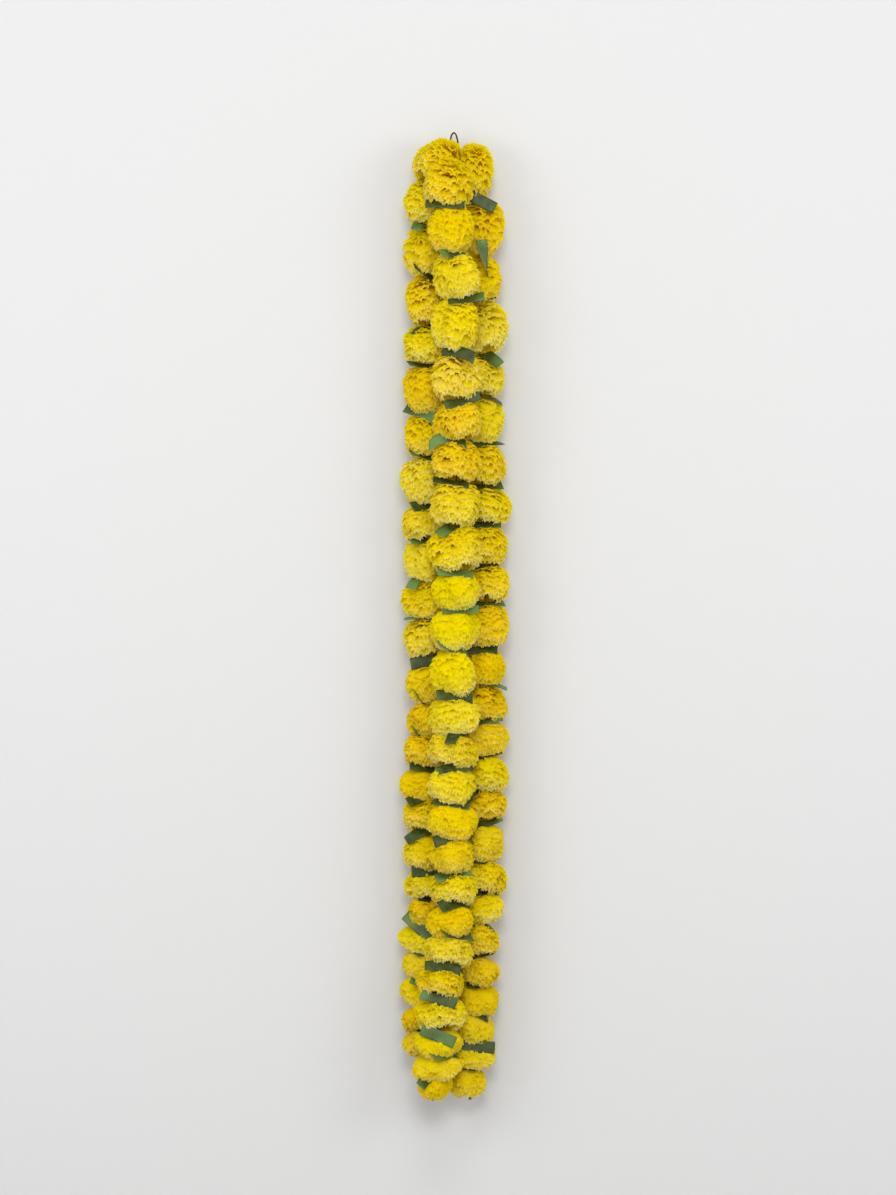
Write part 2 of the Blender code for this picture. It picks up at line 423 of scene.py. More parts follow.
def tie_knot(name, node, turns=4):
    """A knot wound to fill its node's box."""
    low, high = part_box(node)
    middle = (low + high) / 2
    radius = (high - low).length / 2 / math.sqrt(3)
    wound = []
    for i in range(turns * COIL_STEPS + 1):
        share = i / (turns * COIL_STEPS)
        angle = 2 * math.pi * turns * share
        wave = math.sin(math.pi * (COIL_NARROWING[0] + COIL_NARROWING[1] * share))
        out = radius * COIL_OUT * wave
        up = radius * COIL_LENGTH * (0.5 - share)
        tilted = Vector((out * math.cos(angle), out * math.sin(angle), up))
        tilted.rotate(Matrix.Rotation(math.radians(COIL_TILT), 3, "Y"))
        wound.append(middle + tilted)
    bm = bmesh.new()
    twist_thread(bm, wound, radius * COIL_THREAD, plies=2, pitch=radius * COIL_PITCH)
    bmesh.ops.create_icosphere(
        bm, subdivisions=2, radius=radius * COIL_CORE, matrix=Matrix.Translation(middle)
    )
    finish_piece(name, bm, thread_paint, node)


tie_knot("tied_gathering_knot", "gathering_knot")
for side in STRANDS:
    tie_knot(f"{side}_tied_end_knot", f"{side}_end_knot", turns=3)

# %% [markdown]
# ## Ribbon strips
# Between the flowers sit short strips of green satin ribbon, cut square, 20 mm wide and 58 mm long.
# On the real garland they stand for leaves. Squeezed between soft flowers they tilt, curl and fold, and
# each shows differently: some as a thin dark line, some as a broad bright face.
#
# A strip starts as a flat grid. It is bent and twisted by a few amounts given for each strip,
# then pressed out of the two flowers that it touches, so that it lies over the lower one.
#
# The finish comes first. Satin ribbon is woven from smooth polyester yarns that lie side by side, which
# gives it a soft, broad shine. It is dyed dark green, paler in cloudy patches and on some strips. Light
# and
# shade are painted on as well: lighter where a strip stands out from the flowers, darker between them
# and in the hollows of its creases. The weave is drawn coarser than it is, so that it shows.

# %% Satin ribbon
CREASE_SCALE = 90.0  # 11 mm apart
CLOUD_SCALE = 26.0  # 38 mm apart
WEAVE_SCALE = 900.0  # 1.1 mm apart
ribbon_paint, tree = new_material("green satin ribbon")
place = add_node(tree, "ShaderNodeTexCoord").outputs["Object"]
creases = add_node(tree, "ShaderNodeTexNoise", {"Vector": place, "Scale": CREASE_SCALE, "Detail": 3.0})
# The creases' noise also sets the colour, so their hollows are painted darker: painted crease shade.
tint = add_node(tree, "ShaderNodeValToRGB", {"Fac": creases.outputs["Fac"]})
colour_stops(tint, [(0.3, "#1a2803"), (0.7, "#3c4c0c")])
# The strip's attribute holds its random tone plus painted light and shade: lighter where it stands out,
# darker between the flowers.
painted_light_and_tone = add_node(tree, "ShaderNodeAttribute", attribute_name="painted_light_and_tone")
cloudy = add_node(tree, "ShaderNodeTexNoise", {"Vector": place, "Scale": CLOUD_SCALE, "Detail": 0.0})
patches_and_painted_light = add_node(
    tree, "ShaderNodeMath", {0: painted_light_and_tone.outputs["Fac"], 1: cloudy.outputs["Fac"]}, operation="ADD"
)
# Paler green for cloudy patches, paler strips and painted light; darker for painted shade between the
# flowers.
paleness = add_node(
    tree, "ShaderNodeMapRange", {"Value": patches_and_painted_light.outputs["Value"], "From Min": 0.4, "From Max": 0.8}
)
# A Mix node has sockets for every kind of data. Its colours are inputs 6 and 7 and output 2.
dye_and_painted_light = add_node(
    tree,
    "ShaderNodeMix",
    {0: paleness.outputs["Result"], 6: tint.outputs["Color"], 7: linear("#557638")},
    data_type="RGBA",
)
weave = add_node(tree, "ShaderNodeTexNoise", {"Vector": place, "Scale": WEAVE_SCALE, "Detail": 1.0})
rough = add_node(
    tree, "ShaderNodeMapRange", {"Value": weave.outputs["Fac"], "To Min": 0.45, "To Max": 0.6}
)
bump = add_node(
    tree, "ShaderNodeBump", {"Height": creases.outputs["Fac"], "Distance": 0.8 * MM, "Strength": 0.5}
)
satin = add_node(
    tree,
    "ShaderNodeBsdfPrincipled",
    {
        "Base Color": dye_and_painted_light.outputs[2],
        "Roughness": rough.outputs["Result"],
        "Specular IOR Level": 0.4,
        "Sheen Weight": 0.08,
        "Sheen Tint": linear("#9fc08a"),
        "Normal": bump.outputs["Normal"],
    },
)
add_node(tree, "ShaderNodeOutputMaterial", {"Surface": satin.outputs["BSDF"]})

# %% [markdown]
# Each row of the lists below is one strip, from the top of its strand down. It gives, in order:
#
# - how far the strip's middle is to the right of its joint, above it and in front of it, in millimetres;
# - its yaw (left end forward), its roll (right end up) and its pitch (front edge down), in degrees;
# - how far its left and right ends droop, in millimetres;
# - its twist from end to end, in degrees.
#
# At a pitch of 90 a strip shows its whole face. The ones with a yaw of 80 or more point straight back
# and are hidden in a gap.

# %% Strips one by one
STRIPS = {
    "left": [
        (0, 0, 0, 85, 0, 10, 4, 4, 0),
        (-7, 2, 14, 75, 0, 12, 14, 0, 0),
        (7, 0, 22, 20, -33, 50, 0, 4, 20),
        (2, 2, 20, 0, 26, 12, 7, 0, 8),
        (-1, -2, 20, 25, -5, 35, 0, 2, 15),
        (-4, -1, 24, -25, -16, 65, 0, 8, 35),
        (5, 0, 20, 20, -16, 35, 2, 3, 15),
        (4, -2, 21, 35, 6, 55, 0, 3, 10),
        (3, 0, 18, 30, 4, 32, 3, 2, 10),
        (-10, 2, 18, 62, 0, 12, 16, 0, 0),
        (-7, 1, 20, 0, -2, 15, 3, 0, 6),
        (2, -1, 32, 10, 8, 82, 2, 2, 10),
        (-9, 0, 22, 55, -38, 50, 0, 0, 15),
        (-9, -1, 22, 52, -36, 50, 0, 2, 10),
        (6, 1, 22, 15, -12, 52, 3, 0, 10),
        (-2, 2, 22, 35, 0, 48, 6, 0, 15),
        (-3, 1, 27, 15, 20, 48, 5, 0, 25),
        (6, -1, 34, 12, 2, 88, 0, 0, 5),
        (0, 0, 0, 85, 0, 10, 4, 4, 0),
        (-9, 1, 36, -12, -42, 72, 0, 0, 10),
        (0, 0, 0, 80, 0, 10, 4, 4, 0),
        (-8, 3, 18, 60, 28, 45, 4, 0, 10),
        (0, 0, 0, 85, 0, 10, 4, 4, 0),
        (0, 0, 0, 85, 0, 10, 4, 4, 0),
    ],
    "centre": [
        (-10, 3, 22, 0, -2, 50, 2, 0, 10),
        (-2, -8, 22, 50, -16, 55, 8, 2, 20),
        (15, -2, 24, 0, 8, 38, 0, -2, 15),
        (3, -5, 34, -28, -6, 66, 0, 8, 20),
        (8, 0, 25, 0, 18, 62, -3, -2, 30),
        (-15, 2, 24, 0, 0, 66, 13, 13, 0),
        (-9, -1, 20, 5, -7, 35, 0, 2, 10),
        (-7, -2, 22, 40, 25, 42, 0, 2, 25),
        (1, -2, 23, 8, -5, 48, 0, 3, -15),
        (10, -1, 20, 0, 2, 34, 2, 0, 12),
        (-2, -1, 23, 35, -16, 48, 0, 6, 20),
        (3, 1, 24, 18, -5, 60, 3, 3, 15),
        (8, 2, 20, 65, 0, 15, 17, 0, 25),
        (3, -2, 23, 12, 10, 52, 2, 2, 15),
        (0, -2, 23, 0, -13, 48, 4, -4, 12),
        (-1, 0, 24, 14, 8, 62, 5, 0, 20),
        (-2, -3, 23, 18, 11, 48, 2, 2, 20),
        (3, 1, 23, 45, 4, 55, 3, 3, 10),
        (12, 2, 16, 42, -8, 42, 0, 0, 10),
        (-4, -2, 30, 8, -10, 56, 3, 3, 20),
        (-3, -2, 34, 0, -22, 68, 4, -4, 30),
        (-1, -9, 40, 0, -22, 85, 0, 0, 5),
        (13, 0, 18, 50, -5, 38, 4, 3, 10),
        (-11, 0, 20, 58, 22, 50, 4, 0, 10),
    ],
    "right": [
        (0, -4, 36, 0, -28, 85, 0, 0, 5),
        (8, -5, 56, 10, -80, 45, 0, 0, -90),
        (-2, 4, 18, 30, 12, 32, 0, 0, 10),
        (9, 0, 20, -28, -24, 48, 0, 6, -25),
        (9, 1, 20, 10, -22, 22, 0, 4, 0),
        (7, 2, 20, 25, -2, 38, 0, 0, -50),
        (3, -2, 20, 15, 10, 42, 0, 3, 15),
        (-3, 0, 22, 0, 5, 50, 0, 2, 10),
        (-5, 0, 18, 30, 10, 32, 2, 2, 5),
        (3, 0, 19, 20, 4, 36, 0, 2, 5),
        (-10, -4, 24, 10, -8, 66, -2, -5, 10),
        (9, 2, 22, 0, -4, 16, 0, 6, 4),
        (3, 1, 20, 15, 11, 46, 3, 0, 10),
        (3, 0, 22, 10, 21, 36, 0, 2, 8),
        (-2, -1, 20, 35, 18, 42, 2, 2, 5),
        (3, 0, 21, 15, 13, 50, 0, -3, 12),
        (0, 0, 0, 85, 0, 10, 4, 4, 0),
        (-2, -1, 21, 15, 11, 42, 3, 3, 10),
        (-4, 0, 20, 30, -12, 38, 0, 4, 8),
        (-3, 1, 20, 15, 13, 32, 3, 0, 8),
        (0, 0, 0, 80, 0, 10, 4, 4, 0),
        (-8, 3, 20, 20, -24, 42, 0, 3, 8),
        (7, -7, 38, 8, -4, 85, 0, 0, 5),
        (0, 0, 0, 85, 0, 10, 4, 4, 0),
    ],
}

# %% Cut and press the strips
STRIP_SIZE = (20 * MM, 58 * MM)  # width and length
STRIP_GRID = (6, 18)  # faces across it and along it
STRIP_THICKNESS = 0.35 * MM
PULLED_IN = 0.68  # the flowers pull a strip in to this share of its distance in front
PRESSINGS = 3
PRESS_POWER = -0.4  # -0.5 would move a point in a ball exactly to its surface
LEAST_DEPTH = 0.05  # for points close to a flower's middle, which would be thrown far out
SMOOTHING = 0.4  # how far a point then moves to the middle of its neighbours
KEPT_AREA = (0.86, 1.1)  # times the flat strip
FRONT_AND_UP = np.array((0, -0.7, 0.7))
STRIP_TONE_SPREAD = (-0.3, 0.32)  # some strips are paler than others, and some darker
PAINTED_LIGHTENING = 0.6  # painted light added for each flower radius away from the thread
NEUTRAL_LIGHT_RADIUS = 0.9  # flower radii from the thread where the painted light neither lightens nor darkens
STRIP_FIT = 0.8  # how much of a flower's radius presses on a strip
FLOWER_RADIUS = 36.6 * MM
FULLNESS = 0.68  # below 1, a flower's dome is fuller than a ball


def press_out(points, middle, up, radius, height):
    """Moves the points that lie inside a flower's dome out, about to its surface."""
    away = points - middle
    rise = away @ up
    flat = away - np.outer(rise, up)
    out = np.linalg.norm(flat, axis=1)
    depth = (out / radius) ** (2 / FULLNESS) + (np.abs(rise) / (height / 2)) ** 2
    grow = np.where(depth < 1, np.maximum(depth, LEAST_DEPTH) ** PRESS_POWER, 1)
    return middle + away * grow[:, None]


def give_thickness(ribbon):
    solid = ribbon.modifiers.new("cloth thickness", "SOLIDIFY")
    solid.thickness = STRIP_THICKNESS
    solid.offset = 0


strips = {}


def add_strip(side, k, row):
    """Makes one strip, keeps its points and normals for the flowers, and gives how much it grew."""
    right, above, forward, yaw, roll, pitch, droop_left, droop_right, twist = row
    bm = bmesh.new()
    bm.loops.layers.uv.new("OFBake")
    across, along = STRIP_GRID
    bmesh.ops.create_grid(bm, x_segments=along, y_segments=across, size=0.5, calc_uvs=True)
    for vert in bm.verts:
        lengthwise, widthwise = vert.co.x, vert.co.y
        droop = droop_left if lengthwise < 0 else droop_right
        turned = math.radians(pitch + twist * lengthwise)
        vert.co = Vector(
            (
                lengthwise * STRIP_SIZE[1],
                widthwise * STRIP_SIZE[0] * math.cos(turned),
                widthwise * STRIP_SIZE[0] * math.sin(turned) - droop * MM * (2 * lengthwise) ** 2,
            )
        )
    place = joints[side][k] + Vector((right, -forward * PULLED_IN, above)) * MM
    turn = Matrix.Rotation(math.radians(yaw), 4, "Z") @ Matrix.Rotation(math.radians(-roll), 4, "Y")
    bmesh.ops.transform(bm, matrix=Matrix.Translation(place) @ turn, verts=bm.verts)
    points = np.array([vert.co for vert in bm.verts])
    for _ in range(PRESSINGS):
        for number in (k, k + 1):
            top, bottom = joints[side][number - 1 : number + 1]
            height = (top - bottom).length
            points = press_out(
                points,
                np.array((top + bottom) / 2),
                np.array((top - bottom).normalized()),
                FLOWER_RADIUS * STRIP_FIT,
                height,
            )
    for vert, point in zip(bm.verts, points):
        vert.co = point
    bmesh.ops.smooth_vert(
        bm, verts=bm.verts, factor=SMOOTHING, use_axis_x=True, use_axis_y=True, use_axis_z=True
    )
    # Cloth keeps its size, so most of what pressing and smoothing did to it is taken back.
    area = sum(face.calc_area() for face in bm.faces) / (STRIP_SIZE[0] * STRIP_SIZE[1])
    grow = math.sqrt(min(max(area, KEPT_AREA[0]), KEPT_AREA[1]) / area)
    middle = sum((vert.co for vert in bm.verts), Vector()) / len(bm.verts)
    bmesh.ops.scale(bm, vec=(grow, grow, grow), space=Matrix.Translation(-middle), verts=bm.verts)
    bmesh.ops.recalc_face_normals(bm, faces=bm.faces)
    bm.normal_update()
    laid = np.array([[*vert.co, *vert.normal] for vert in bm.verts])
    outwards = laid[:, 3:] @ FRONT_AND_UP
    strips[side, k] = laid[:, :3], laid[:, 3:] * (1 if outwards.mean() > 0 else -1)
    strip = finish_piece(
        f"{side}_ribbon_strip_{k:02d}", bm, ribbon_paint, f"{side}_thread", slot="ribbon"
    )
    # Painted light and shade: each strip is painted lighter where it stands out from the flowers and
    # darker between them, where they shade it, on top of a random tone for each strip.
    outside = np.linalg.norm(laid[:, :2] - np.array(joints[side][k])[:2], axis=1) / FLOWER_RADIUS
    batch = random.Random(f"strip {side} {k}").uniform(*STRIP_TONE_SPREAD)
    painted_light_and_tone = batch + PAINTED_LIGHTENING * (outside - NEUTRAL_LIGHT_RADIUS)
    strip.data.attributes.new("painted_light_and_tone", "FLOAT", "POINT").data.foreach_set("value", painted_light_and_tone)
    give_thickness(strip)
    return grow


grown = [add_strip(side, k, row) for side in STRIPS for k, row in enumerate(STRIPS[side], start=1)]
print("strips:", len(grown), "given back up to", round(max(grown), 2), "times")

# %% [markdown]
# ## Fabric flowers
# A fabric marigold is a stack of frilled rounds of thin cloth, each pierced in the middle. The rounds
# turn down over each other like skirts, so the top of the flower is a smooth dome with fine pleats,
# and below its widest part the cut edges show as rows of short petals with pale, pinked tips.
#
# Each round is made as a grid rolled into a short tube and closed at its seam: one way round the tube
# is once round the flower, and the other way goes from the thread out to the cut edge. Then its points
# are moved: along a curve from the thread over the shoulder to the rim, out and in for pleats, and
# petal by petal for the tips. A cloth simulation could drape the rounds, but it would take minutes for
# seventy-five flowers, and it would not know where the petals are cut.

# %% Blank rounds
SIDES = 150  # columns round a flower
PER_PETAL = 3
ROWS = 3
OUTWARDS = np.array([0.0, 0.5, 0.78, 1.0])  # where the rows lie from the thread, 0, to the cut edge, 1
LAYERS = 13
UV_BAND = (0.03, 0.94)  # where a round's part of its band of the map starts, and its height


def flower_blank():
    """A stack of tubes, one for each round of cloth, at heights 0, 1, 2 and so on."""
    bm = bmesh.new()
    uv_map = bm.loops.layers.uv.new("OFBake")
    for layer in range(LAYERS):
        made = bmesh.ops.create_grid(
            bm, x_segments=SIDES, y_segments=ROWS, size=0.5, calc_uvs=True
        )["verts"]
        for face in {face for vert in made for face in vert.link_faces}:
            for corner in face.loops:
                # Each round has its own band of the map, so that baked finishes don't mix.
                in_band = layer + UV_BAND[0] + UV_BAND[1] * corner[uv_map].uv.y
                corner[uv_map].uv.y = in_band / LAYERS
        for vert in made:
            angle = vert.co.x * 2 * math.pi
            row = round((vert.co.y + 0.5) * ROWS)
            vert.co = Vector((math.cos(angle), math.sin(angle), layer + OUTWARDS[row] / 2))
    bmesh.ops.remove_doubles(bm, verts=bm.verts, dist=0.0001)
    return mesh_of(bm, "flower blank")


blank = flower_blank()
blank_points = np.empty(len(blank.vertices) * 3)
blank.vertices.foreach_get("co", blank_points)
blank_points = blank_points.reshape(-1, 3)
blank_angle = np.arctan2(blank_points[:, 1], blank_points[:, 0])
blank_layer = np.floor(blank_points[:, 2] + 1e-6).astype(int)  # a hair up, so that 2 isn't read as 1
blank_out = (blank_points[:, 2] - blank_layer) * 2
blank_column = np.round((blank_angle / (2 * math.pi) + 0.5) * SIDES).astype(int) % SIDES
print("faces in a flower:", len(blank.polygons))

# %% [markdown]
# The next cell shapes one flower. `share` runs from 0 for the top round to 1 for the lowest, and `out`
# from 0 at the thread to 1 at the cut edge. A round's rim lies on a full, slightly square dome, at a
# latitude that falls from one round to the next. All random amounts come from one seeded draw for each
# flower, so that no two flowers are alike, and every run makes the same ones.
#
# The names in capitals are set in the cell after it.

# %% Shape one flower
PETALS = SIDES // PER_PETAL


def between(ends, share):
    """The value this share of the way from the first end to the second."""
    return ends[0] + (ends[1] - ends[0]) * share


def waves(draw, angle, counts):
    """A wandering wave once round the flower, between about -1 and 1."""
    total = sum(np.sin(count * angle + draw.uniform(0, 2 * math.pi)) for count in counts)
    return total / math.sqrt(len(counts))


def shape_flower(draw, radius, height, top_rim, fullness):
    """The flower's points about its own middle with its axis up, and a colour guide for each.

    The guide's red is how pale the cloth is painted there, which on the cut edges of the lower rounds is
    partly a painted highlight, its green is a number of the petal's own, and its blue is the round's
    share.
    """
    points = np.empty_like(blank_points)
    guide = np.ones((len(points), 4))
    half = height / 2
    turns = draw.uniform(0, 2 * math.pi, 4)

    def bumps(angle, share):
        """Soft bulges that all the rounds share, turning a little from the top round to the lowest."""
        wide = np.sin(2 * angle + turns[0]) + 0.8 * np.sin(3 * angle + turns[1] + 2.5 * share)
        return (wide + 0.7 * np.sin(5 * angle + turns[2] - 3.5 * share)) / 1.8

    for layer in range(LAYERS):
        mine = blank_layer == layer
        angle = blank_angle[mine]
        out = blank_out[mine]
        petal = blank_column[mine] // PER_PETAL
        step = blank_column[mine] % PER_PETAL
        cut = step == 0
        bulge = 1 - np.abs(step / PER_PETAL * 2 - 1)
        share = layer / (LAYERS - 1)

        def each_petal(low, high):
            """An amount for each petal. The cut between two petals gets their mean."""
            amounts = draw.uniform(low, high, PETALS)
            shared = (amounts[petal] + amounts[(petal - 1) % PETALS]) / 2
            return np.where(cut, shared, amounts[petal])

        wander = SWAY * waves(draw, angle, (2, 3, 5)) + each_petal(-SWING, SWING)
        latitude = np.radians(between((top_rim, LOWEST_RIM), share**RIM_CROWDING) + wander)
        lumps = 1 + LUMPS * bumps(angle + layer * TURN, share)

        # Each line out from the thread is a curve from base to rim, drawn towards a shoulder.
        rim_out = radius * lumps * np.maximum(np.cos(latitude), NARROWEST) ** fullness
        rim_up = half * np.sin(latitude)
        base_up = half * (BASE_TOP - BASE_FALL * share)
        span = np.hypot(rim_out - BASE_OUT, rim_up - base_up)
        way = latitude + math.radians(between(FLARE, share) - 90)
        shoulder_out = np.maximum(rim_out - np.cos(way) * span * SHOULDER, SHOULDER_OUT)
        shoulder_up = rim_up - np.sin(way) * span * SHOULDER
        base_part, shoulder_part, rim_part = (1 - out) ** 2, 2 * out * (1 - out), out**2
        along_out = base_part * BASE_OUT + shoulder_part * shoulder_out + rim_part * rim_out
        along_up = base_part * base_up + shoulder_part * shoulder_up + rim_part * rim_up

        # Its direction at each point, as a step of length 1.
        way_out = (1 - out) * (shoulder_out - BASE_OUT) + out * (rim_out - shoulder_out)
        way_up = (1 - out) * (shoulder_up - base_up) + out * (rim_up - shoulder_up)
        size = np.hypot(way_out, way_up) + 1e-9
        way_out, way_up = way_out / size, way_up / size

        # Frills and petals lift the cloth off that curve, and petals end short of it or past it.
        free = np.clip((out - HELD) / (1 - HELD), 0, 1)
        rough = between(ROUGHNESS, min(1, share * ROUGHENING))
        lift = FRILL * waves(draw, angle, FRILL_WAVES) * free
        lift += each_petal(*LIFT) * free**3 - VALLEY * cut * free
        stretch = (each_petal(*REACH) + SKIRT * share**2) * free - cut * NOTCH * span * free**2
        stretch += ROUNDED * bulge * (out > 0.99)
        along_out = along_out + (way_out * stretch - way_up * lift) * rough
        along_up = along_up + (way_up * stretch + way_out * lift) * rough
        lean = each_petal(*LEAN) * free / np.maximum(along_out, LEAN_RADIUS)
        angle = angle + lean + layer * TURN
        points[mine] = np.stack(
            [along_out * np.cos(angle), along_out * np.sin(angle), along_up], axis=1
        )
        shade = draw.random(PETALS)[petal]
        # The cut edge is palest on the lowest rounds, where it stands off the flower: partly paler cut
        # cloth, partly a painted highlight.
        pale_edge_and_highlight = out * (EDGE_PALENESS_AND_HIGHLIGHT[0] + EDGE_PALENESS_AND_HIGHLIGHT[1] * share**1.5)
        guide[mine, :3] = np.stack([pale_edge_and_highlight, shade, np.full_like(out, share)], axis=1)
    return points + draw.normal(0, JITTER, points.shape) * guide[:, :1], guide


# %% [markdown]
# The amounts below are the flower's character, found by trying.

# %% Flower character
TURN = 2.4  # radians that each round is turned past the one above
LOWEST_RIM = -58.0  # degrees, below the widest part
RIM_CROWDING = 0.85  # below 1, the lower rims are closer to each other
NARROWEST = 0.05  # of the radius, for a rim near the top
BASE_OUT = 3 * MM  # from the thread to where the cloth starts
BASE_TOP = 0.95  # of half the height, where the top round is pierced
BASE_FALL = 1.35  # and how much lower the lowest round is pierced
SHOULDER = 0.55  # of the way in from the rim to the base
SHOULDER_OUT = 4 * MM  # the closest a shoulder comes to the thread
HELD = 0.2  # the inner share of a round, which can't lift
SWAY = 5.0  # degrees a rim wanders up and down on its way round
SWING = 6.0  # degrees one petal may sit above or below its neighbours
FLARE = (15, 42)  # degrees the rims stand off the dome, top and bottom
ROUGHNESS = (0.4, 0.84)  # how much of the amounts below the top and the lower rounds get
ROUGHENING = 1.6  # how soon after the top the full roughness is reached
FRILL = 1.3 * MM  # height of the pleats
FRILL_WAVES = (8, 13, 22, 31)  # pleats once round, of four sizes
LIFT = (0.4 * MM, 3.0 * MM)  # how far petal tips stand off
VALLEY = 0.4 * MM  # how deep the cuts between petals lie
REACH = (-1.5 * MM, 1.5 * MM)  # how unequal petals are in length
SKIRT = 6.5 * MM  # how much longer the lowest rounds hang
LEAN = (-1.5 * MM, 1.5 * MM)  # how far a tip leans to one side
LEAN_RADIUS = 8 * MM  # closer to the thread than this, the lean grows no more
NOTCH = 0.08  # depth of the cuts, as a share of the cloth's length
ROUNDED = 1.2 * MM  # how far a petal bulges past its corners
JITTER = 0.06 * MM
LUMPS = 0.16  # share of the radius
EDGE_PALENESS_AND_HIGHLIGHT = (0.89, 0.11)  # of the top round's cut edge, and how much more the lowest one has, partly painted highlight

# %% [markdown]
# ## Petal cloth
# The flowers are cut from thin yellow polyester. Light passes through it, so the shaded side of a
# petal still glows. The heat-cut edges are paler than the rest. On the lower rounds, which stand off the
# flower, they are painted paler still, as a painted highlight where the edges catch the light. The dye
# has turned golden on some sides and pale on a few flowers. The weave is far too fine to see, so the
# surface gets soft crinkles about a millimetre and a half apart instead, which is coarser than the real
# ones, so that they show.

# %% Yellow polyester
CRINKLE_SCALE = 650.0  # 1.5 mm apart
SHOWN_THROUGH = 0.62  # the share of light that the cloth lets through
petal_paint, tree = new_material("thin yellow polyester")
guide = add_node(tree, "ShaderNodeAttribute", attribute_name="petal")
parts = add_node(tree, "ShaderNodeSeparateColor", {"Color": guide.outputs["Color"]})
tint = add_node(tree, "ShaderNodeValToRGB", {"Fac": parts.outputs["Red"]})
# The palest stop is reached only at the cut edges of the lower rounds: paler cut cloth with a painted
# highlight.
colour_stops(tint, [(0.0, "#e7cf00"), (0.5, "#f6ec00"), (0.9, "#f7ed00"), (1.0, "#fffbd6")])
bloom = add_node(tree, "ShaderNodeAttribute", attribute_name="bloom")
dye_change = add_node(tree, "ShaderNodeSeparateColor", {"Color": bloom.outputs["Color"]})
golden = add_node(
    tree,
    "ShaderNodeMix",
    {0: dye_change.outputs["Red"], 6: tint.outputs["Color"], 7: linear("#f5da00")},
    data_type="RGBA",
)
dye_and_painted_light = add_node(
    tree,
    "ShaderNodeMix",
    {0: dye_change.outputs["Green"], 6: golden.outputs[2], 7: linear("#f8ee8a")},
    data_type="RGBA",
)
place = add_node(tree, "ShaderNodeTexCoord").outputs["Object"]
crinkle = add_node(tree, "ShaderNodeTexNoise", {"Vector": place, "Scale": CRINKLE_SCALE, "Detail": 2.0})
bump = add_node(
    tree, "ShaderNodeBump", {"Height": crinkle.outputs["Fac"], "Distance": 0.25 * MM, "Strength": 0.35}
)
front = add_node(
    tree,
    "ShaderNodeBsdfPrincipled",
    {
        "Base Color": dye_and_painted_light.outputs[2],
        "Roughness": 0.8,
        "Specular IOR Level": 0.03,
        "Sheen Weight": 0.02,
        "Sheen Tint": linear("#fff2a0"),
        "Normal": bump.outputs["Normal"],
    },
)
through = add_node(tree, "ShaderNodeBsdfTranslucent", {"Color": dye_and_painted_light.outputs[2]})
thin = add_node(
    tree,
    "ShaderNodeMixShader",
    {0: SHOWN_THROUGH, 1: front.outputs["BSDF"], 2: through.outputs["BSDF"]},
)
add_node(tree, "ShaderNodeOutputMaterial", {"Surface": thin.outputs["Shader"]})

# %% [markdown]
# ## Thread the flowers
# Each flower fills the length of thread between two ribbon strips, and a little more, because soft
# cloth pushes past a strip. It is turned at random about the thread and tilted up to twenty degrees.
# Garlands lean on walls, so its back is flattened. Most petals that would pass through a strip are moved
# to lie on it instead.
#
# A second colour guide, `bloom`, holds how golden the dye is in red and how pale in green. Every flower
# makes the same random draws, even where a value is then taken from a table.

# %% Amounts for the flowers
FLOWER_OVERLAP = 1 * MM
RADIUS_SPREAD = (0.93, 1.06)
SIDEWAYS = (-2, 2)  # mm
BACKWARDS = (-1, 2)  # mm
LEFT_SHIFT = 3 * MM  # the left strand's flowers hang to the right of its thread
FLOWER_TILT = 20.0
TOP_RIM = 68  # degrees above the widest part
RIM_DROP = 1.5  # degrees lower for each flower down the strand, where they are pressed flatter
RIM_SPREAD = 10
FLAT_BACK = 8 * MM  # behind the loop
FLATTENING = 0.85
PETAL_GAP = 0.8 * MM  # between a petal and a strip
STRIP_REACH = 42 * MM  # from a strip's middle, past its corners
STRIP_BESIDE = 2.6 * MM  # from its nearest point, which is most of the way to the next
PRESSED_DOWN = 14 * MM  # the deepest a petal may stand in the strip above and be moved out
PRESSED_UP = 6 * MM  # and in the strip below
GOLDEN = (0.1, 0.85)
PATCHES = (0.45, 0.55)  # the golden dye's least share, and how much more its patches get
PALE = 0.3  # the most, for a flower not in the first table
PALE_FLOWERS = {("centre", 5): 0.6, ("left", 8): 0.6, ("right", 4): 0.4}
GOLDEN_FLOWERS = {("left", 1): 0.55, ("centre", 1): 0.6, ("right", 1): 0.5}
# The first and last flowers are free on one side. Each has a shift, a radius and extra height, in mm.
END_FLOWERS = {
    ("left", 1): ((4, -14, -2), 35, 11),
    ("centre", 1): ((-6, 0, 4), 35, 16),
    ("right", 1): ((-1, 0, 4), 33, 12),
    ("centre", 25): ((-1, 0, 7), 27, 6),
    ("right", 25): ((-6, 0, -3), 32, 8),
}
END_FULLNESS = 0.9


# %% Seventy-five flowers
def node_of_flower(side, number):
    """The solid that stands for this flower: the first is alone, and the others are in twos."""
    if number == 1:
        return f"{side}_flower_01"
    first = number - number % 2
    return f"{side}_flowers_{first:02d}_{first + 1:02d}"


def upright(place, up):
    """A placement at a point, with its Z along the direction."""
    return Matrix.Translation(place) @ up.to_track_quat("Z", "Y").to_matrix().to_4x4()


def lie_beside(points, strip, above, reach):
    """Moves petals that pass through a strip to one side of it, if they are no deeper than the reach."""
    places, normals = strip
    near = np.where(np.linalg.norm(points - places.mean(axis=0), axis=1) < STRIP_REACH)[0]
    apart = points[near, None] - places[None]
    closest = np.linalg.norm(apart, axis=2).argmin(axis=1)
    apart = apart[np.arange(len(near)), closest]
    facing = normals[closest]
    height = (apart * facing).sum(axis=1)
    beside = np.linalg.norm(apart - facing * height[:, None], axis=1)
    wanted = PETAL_GAP if above else -PETAL_GAP
    wrong = height < wanted if above else height > wanted
    moved = wrong & (np.abs(height) < reach) & (beside < STRIP_BESIDE)
    points[near[moved]] += facing[moved] * (wanted - height[moved])[:, None]


